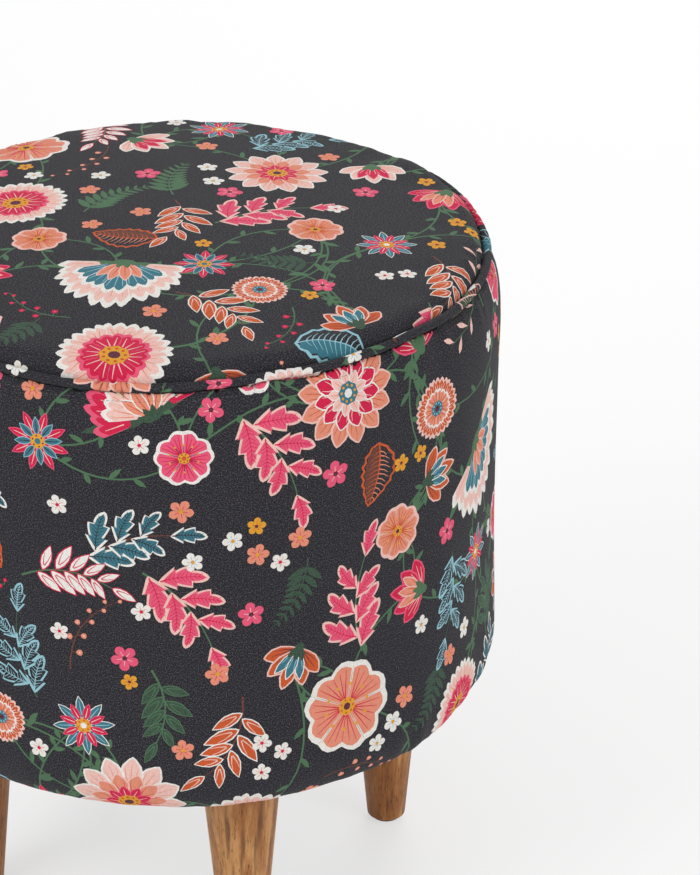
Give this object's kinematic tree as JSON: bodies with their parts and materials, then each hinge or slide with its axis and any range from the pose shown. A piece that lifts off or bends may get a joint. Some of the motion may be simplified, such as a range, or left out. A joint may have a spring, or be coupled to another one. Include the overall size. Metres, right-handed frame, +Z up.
{
  "type": "tuffet",
  "caption": "Round upholstered tuffet: a padded drum in printed cotton with a crowned seat and a piped seam, on short tapered wooden legs.",
  "frame": {"origin": "on the floor, on the drum's own axis", "axes": "+Z up along the drum's axis, -Y towards the front; the legs stand on the diagonals of X and Y"},
  "size_m": [0.4058, 0.4056, 0.4571],
  "materials": {
    "printed_cotton": "matte",
    "cord_cotton": "matte",
    "wadding": "matte",
    "foam": "matte",
    "plywood": "matte",
    "hardboard": "matte",
    "pine": "matte",
    "stained_hardwood": "satin",
    "dust_cloth": "matte",
    "zinc_steel": "satin",
    "glide_plastic": "satin"
  },
  "bodies": {
    "root": {"base_board": "plywood", "board_screws": "zinc_steel", "cover_staples": "zinc_steel", "drum_wall": "hardboard", "dust_cover": "dust_cloth", "dust_cover_staples": "zinc_steel", "foot_glide_back_left": "glide_plastic", "foot_glide_back_right": "glide_plastic", "foot_glide_front_left": "glide_plastic", "foot_glide_front_right": "glide_plastic", "frame_post_back": "pine", "frame_post_front": "pine", "frame_post_left": "pine", "frame_post_right": "pine", "hanger_bolts": "zinc_steel", "leg_back_left": "stained_hardwood", "leg_back_right": "stained_hardwood", "leg_front_left": "stained_hardwood", "leg_front_right": "stained_hardwood", "piping_cord": "cord_cotton", "piping_cover": "printed_cotton", "seat_foam": "foam", "seat_wadding": "wadding", "side_cover": "printed_cotton", "side_foam": "foam", "tee_nuts": "zinc_steel", "top_board": "plywood", "top_cover": "printed_cotton"}
  },
  "joints": []
}
